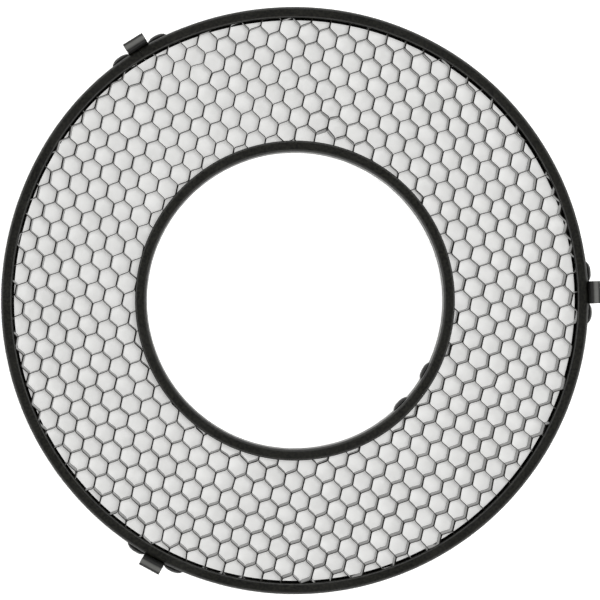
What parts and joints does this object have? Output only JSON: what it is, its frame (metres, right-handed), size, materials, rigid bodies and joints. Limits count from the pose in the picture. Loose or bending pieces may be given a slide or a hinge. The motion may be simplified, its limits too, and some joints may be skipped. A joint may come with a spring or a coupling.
{
  "type": "honeycomb grid",
  "caption": "Ring-shaped honeycomb light grid: foil cells held between an outer and an inner channel hoop, with sprung clips over a reflector's rim.",
  "frame": {"origin": "on the common axis of both hoops, halfway between the front and rear faces", "axes": "+Z along the hoops' axis, out of the front face; +X near the first clip, +Y 90 degrees on from it"},
  "size_m": [0.2958, 0.29, 0.0192],
  "materials": {
    "hoop": "fine textured black powder coat",
    "foil": "thin matt black paint on aluminium foil",
    "clip": "satin black coat on spring steel",
    "rivet": "satin black coat",
    "stem": "black coat over broken steel stem"
  },
  "bodies": {
    "grid": {"clip_1_strap": "clip", "clip_2_strap": "clip", "clip_3_strap": "clip", "clip_rivet_stems": "stem", "clip_rivets": "rivet", "foil_01": "foil", "foil_02": "foil", "foil_03": "foil", "foil_04": "foil", "foil_05": "foil", "foil_06": "foil", "foil_07": "foil", "foil_08": "foil", "foil_09": "foil", "foil_10": "foil", "foil_11": "foil", "foil_12": "foil", "foil_13": "foil", "foil_14": "foil", "foil_15": "foil", "foil_16": "foil", "foil_17": "foil", "foil_18": "foil", "foil_19": "foil", "foil_20": "foil", "foil_21": "foil", "foil_22": "foil", "foil_23": "foil", "foil_24": "foil", "foil_25": "foil", "foil_26": "foil", "foil_27": "foil", "foil_28": "foil", "foil_29": "foil", "inner_ring": "hoop", "inner_splice": "hoop", "outer_ring": "hoop", "splice_rivet_stems": "stem", "splice_rivets": "rivet"},
    "clip_1_spring": {"clip_1_leg": "clip"},
    "clip_2_spring": {"clip_2_leg": "clip"},
    "clip_3_spring": {"clip_3_leg": "clip"}
  },
  "joints": [
    {"name": "clip_1_flex", "type": "hinge", "parent": "grid", "child": "clip_1_spring", "pos_m": [0.14834, 0.00414, 0.01155], "axis": [0.0279, -0.9996, 0], "range_deg": [0, 8], "stiffness_Nm_per_rad": 2},
    {"name": "clip_2_flex", "type": "hinge", "parent": "grid", "child": "clip_2_spring", "pos_m": [-0.07842, 0.12599, 0.01155], "axis": [0.849, 0.5284, 0], "range_deg": [0, 8], "stiffness_Nm_per_rad": 2},
    {"name": "clip_3_flex", "type": "hinge", "parent": "grid", "child": "clip_3_spring", "pos_m": [-0.07104, -0.13029, 0.01155], "axis": [-0.878, 0.4787, 0], "range_deg": [0, 8], "stiffness_Nm_per_rad": 2}
  ]
}
